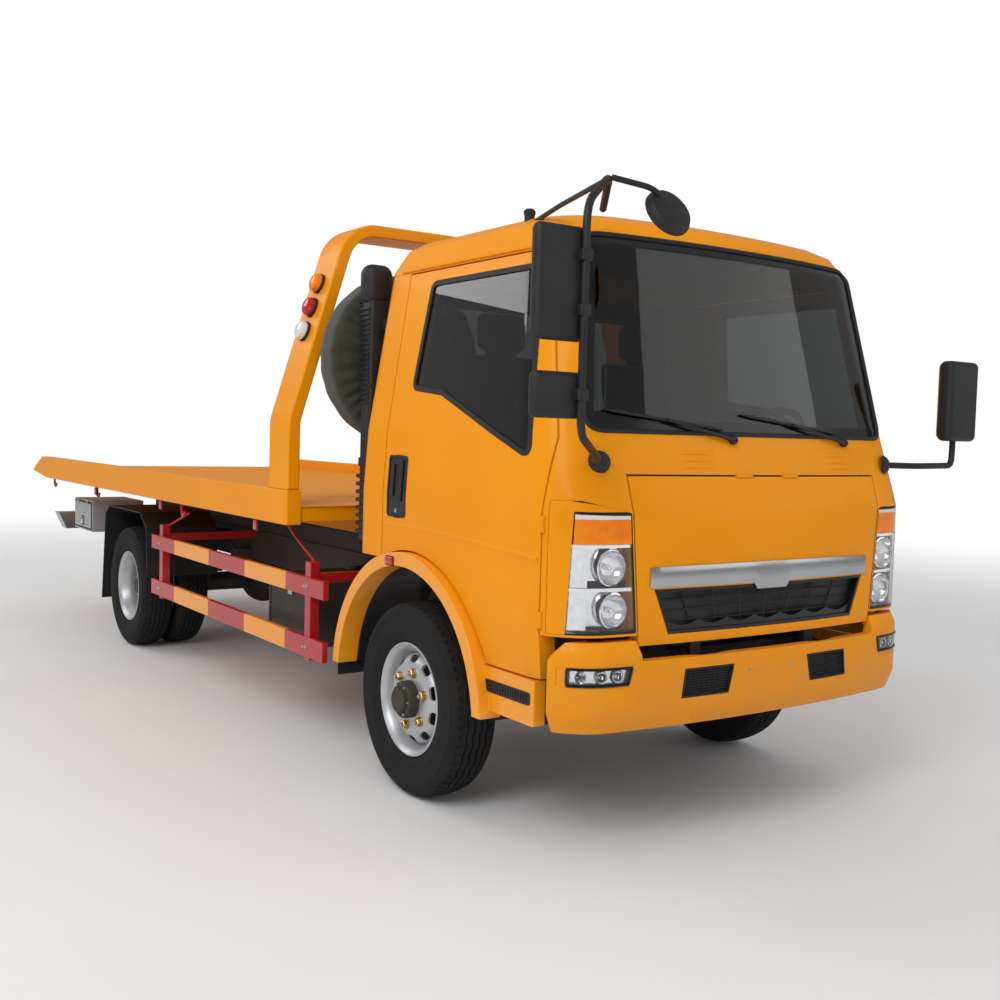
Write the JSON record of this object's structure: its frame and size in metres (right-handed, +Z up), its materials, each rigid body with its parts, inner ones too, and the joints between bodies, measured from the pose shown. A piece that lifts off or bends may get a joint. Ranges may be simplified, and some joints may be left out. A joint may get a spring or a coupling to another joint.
{
  "type": "rollback tow truck",
  "caption": "Forward-control rollback tow truck: tilting cab, sliding and tilting flat bed with a lamp gantry and winch, folding underlift, and striped side guards.",
  "frame": {"origin": "on the ground under the middle of the overall length and width", "axes": "+X forward, +Y to the truck's left, +Z up"},
  "size_m": [6.956, 2.443, 2.386],
  "materials": {
    "body_yellow": "gloss orange-yellow paint",
    "guard_paint": "red and yellow guard paint",
    "frame_black": "satin black paint",
    "arch_paint": "gloss orange-yellow paint with black steps",
    "glass": "tinted glass",
    "lamp_glass": "clear lamp lens",
    "lamp_plastic": "amber, red and clear lenses",
    "black_plastic": "grained black plastic",
    "tyre": "tyre rubber",
    "wheel_silver": "silver paint",
    "cast": "cast and forged iron",
    "steel": "plain steel",
    "rod": "hard chrome",
    "seat": "woven seat cloth",
    "cover": "olive black cover cloth",
    "grey_box": "grey paint"
  },
  "bodies": {
    "chassis": {"chassis_frame": "frame_black", "driveline": "cast", "front_axle": "cast", "rear_axle": "cast", "leaf_springs": "frame_black", "side_tanks": "frame_black", "exhaust": "steel", "side_guards": "guard_paint", "rear_mudguards": "black_plastic", "bumper": "body_yellow", "chassis_lamps": "lamp_plastic", "toolboxes": "grey_box", "spare_wheel": "cover", "spare_carrier": "frame_black"},
    "cab": {"cab_floor": "frame_black", "cab_back": "body_yellow", "cab_roof": "body_yellow", "cab_front": "body_yellow", "cab_glass": "glass", "dashboard": "black_plastic", "seats": "seat", "headlamps": "lamp_glass", "wheel_arches": "arch_paint", "mirrors": "black_plastic", "air_intake": "black_plastic"},
    "lid": {"front_lid": "body_yellow", "grille": "black_plastic"},
    "door_r": {"door_right": "body_yellow", "door_glass_right": "glass"},
    "door_l": {"door_left": "body_yellow", "door_glass_left": "glass"},
    "knuckle_r": {"knuckle_right": "cast"},
    "knuckle_l": {"knuckle_left": "cast"},
    "track_rod": {"tie_rod": "frame_black"},
    "wheel_fr": {"tyre_front_right": "tyre", "wheel_front_right": "wheel_silver"},
    "wheel_fl": {"tyre_front_left": "tyre", "wheel_front_left": "wheel_silver"},
    "wheels_rr": {"tyres_rear_right": "tyre", "wheels_rear_right": "wheel_silver"},
    "wheels_rl": {"tyres_rear_left": "tyre", "wheels_rear_left": "wheel_silver"},
    "subframe": {"tilt_frame": "frame_black", "slide_barrel": "frame_black"},
    "bed": {"bed_deck": "body_yellow", "bed_sides": "body_yellow", "gantry": "body_yellow", "bed_lamps": "lamp_plastic", "winch_stand": "frame_black", "slide_rod": "rod"},
    "drum": {"winch_drum": "steel"},
    "tilt_barrel": {"tilt_barrels": "frame_black"},
    "tilt_rod": {"tilt_rods": "rod"},
    "boom": {"underlift_boom": "frame_black"},
    "stinger": {"underlift_stinger": "steel"},
    "crossbar": {"underlift_bar": "steel"}
  },
  "joints": [
    {"name": "cab_tilt", "type": "hinge", "parent": "chassis", "child": "cab", "pos_m": [3.227, 0, 0.65], "axis": [0, 1, 0], "range_deg": [0, 45]},
    {"name": "lid_hinge", "type": "hinge", "parent": "cab", "child": "lid", "pos_m": [3.245, 0, 1.319], "axis": [0, -1, 0], "range_deg": [0, 70]},
    {"name": "door_r_hinge", "type": "hinge", "parent": "cab", "child": "door_r", "pos_m": [3.09, -0.906, 1.2], "axis": [0, 0, 1], "range_deg": [0, 70]},
    {"name": "door_l_hinge", "type": "hinge", "parent": "cab", "child": "door_l", "pos_m": [3.09, 0.906, 1.2], "axis": [0, 0, -1], "range_deg": [0, 70]},
    {"name": "steer", "type": "hinge", "parent": "chassis", "child": "knuckle_r", "pos_m": [2.242, -0.705, 0.3875], "axis": [0, 0, 1], "range_deg": [-35, 35]},
    {"name": "steer_left", "type": "hinge", "parent": "chassis", "child": "knuckle_l", "pos_m": [2.242, 0.705, 0.3875], "axis": [0, 0, 1], "range_deg": [-35, 35]},
    {"name": "track_rod_end", "type": "hinge", "parent": "knuckle_r", "child": "track_rod", "pos_m": [2.072, -0.705, 0.27], "axis": [0, 0, 1], "range_deg": [-35, 35]},
    {"name": "wheel_fr_spin", "type": "hinge", "parent": "knuckle_r", "child": "wheel_fr", "pos_m": [2.242, -0.826, 0.3875], "axis": [0, 1, 0], "continuous": true},
    {"name": "wheel_fl_spin", "type": "hinge", "parent": "knuckle_l", "child": "wheel_fl", "pos_m": [2.242, 0.826, 0.3875], "axis": [0, 1, 0], "continuous": true},
    {"name": "wheels_rr_spin", "type": "hinge", "parent": "chassis", "child": "wheels_rr", "pos_m": [-1.358, -0.748, 0.3875], "axis": [0, 1, 0], "continuous": true},
    {"name": "wheels_rl_spin", "type": "hinge", "parent": "chassis", "child": "wheels_rl", "pos_m": [-1.358, 0.748, 0.3875], "axis": [0, 1, 0], "continuous": true},
    {"name": "bed_tilt", "type": "hinge", "parent": "chassis", "child": "subframe", "pos_m": [-2.508, 0, 0.85], "axis": [0, -1, 0], "range_deg": [0, 15]},
    {"name": "bed_slide", "type": "slide", "parent": "subframe", "child": "bed", "axis": [-1, 0, 0], "range_m": [0, 3]},
    {"name": "drum_spin", "type": "hinge", "parent": "bed", "child": "drum", "pos_m": [0.997, 0, 1.232], "axis": [0, 1, 0], "continuous": true},
    {"name": "tilt_barrel_foot", "type": "hinge", "parent": "chassis", "child": "tilt_barrel", "pos_m": [-1.238, 0, 0.69], "axis": [0, -1, 0], "range_deg": [0, 27.48]},
    {"name": "tilt_rod_slide", "type": "slide", "parent": "tilt_barrel", "child": "tilt_rod", "axis": [0.9934, 0, 0.1149], "range_m": [0, 0.15543]},
    {"name": "boom_lift", "type": "hinge", "parent": "chassis", "child": "boom", "pos_m": [-2.358, 0, 0.655], "axis": [0, -1, 0], "range_deg": [-6, 18]},
    {"name": "boom_slide", "type": "slide", "parent": "boom", "child": "stinger", "axis": [1, 0, 0], "range_m": [-0.5, 0]},
    {"name": "bar_swivel", "type": "hinge", "parent": "stinger", "child": "crossbar", "pos_m": [-3.258, 0, 0.67], "axis": [0, 0, 1], "range_deg": [-20, 20]}
  ],
  "couplings": [
    {"joint": "steer_left", "follows": "steer", "ratio": 1},
    {"joint": "track_rod_end", "follows": "steer", "ratio": -1},
    {"joint": "tilt_barrel_foot", "follows": "bed_tilt", "ratio": 1.8303},
    {"joint": "tilt_rod_slide", "follows": "bed_tilt", "m_per_rad": 0.59294}
  ]
}
